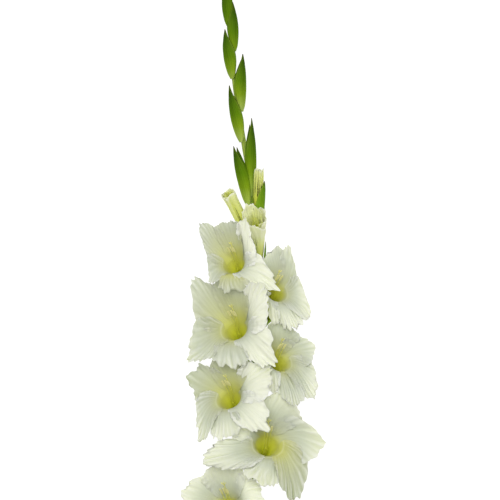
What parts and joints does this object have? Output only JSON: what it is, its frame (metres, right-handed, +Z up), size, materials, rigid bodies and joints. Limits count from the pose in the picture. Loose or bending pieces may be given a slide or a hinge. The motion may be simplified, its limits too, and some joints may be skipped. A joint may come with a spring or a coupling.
{
  "type": "cut gladiolus",
  "caption": "Cut flower spike laid on its back: open white funnel florets along the stem, opening and closed buds above them and sheathing leaves below.",
  "frame": {"origin": "on the surface that the spike lies on, under the middle of its bounding box", "axes": "+Y along the stem from the cut end to the tip; +Z up off the surface, the way the florets face; +X to the right as seen from above with the tip away"},
  "size_m": [0.143, 0.924, 0.0764],
  "materials": {
    "petal": "satin",
    "opening": "satin",
    "stamen": "matte",
    "bract": "satin",
    "bud": "satin",
    "leaf": "satin",
    "stem": "satin"
  },
  "bodies": {
    "root": {"stem": "stem", "leaf_1": "leaf", "leaf_2": "leaf", "floret_1_tepals": "petal", "floret_1_stamens": "stamen", "floret_1_bracts": "bract", "floret_2_tepals": "petal", "floret_2_stamens": "stamen", "floret_2_bracts": "bract", "floret_3_tepals": "petal", "floret_3_stamens": "stamen", "floret_3_bracts": "bract", "floret_4_tepals": "petal", "floret_4_stamens": "stamen", "floret_4_bracts": "bract", "floret_5_tepals": "petal", "floret_5_stamens": "stamen", "floret_5_bracts": "bract", "floret_6_tepals": "petal", "floret_6_stamens": "stamen", "floret_6_bracts": "bract", "floret_7_tepals": "petal", "floret_7_stamens": "stamen", "floret_7_bracts": "bract", "bud_1_petals": "opening", "bud_1_bracts": "bract", "bud_2_petals": "opening", "bud_2_bracts": "bract", "bud_3_petals": "opening", "bud_3_bracts": "bract", "green_bud_1": "bud", "green_bud_2": "bud", "green_bud_3": "bud", "green_bud_4": "bud", "green_bud_5": "bud", "green_bud_6": "bud", "green_bud_7": "bud", "green_bud_8": "bud"}
  },
  "joints": []
}
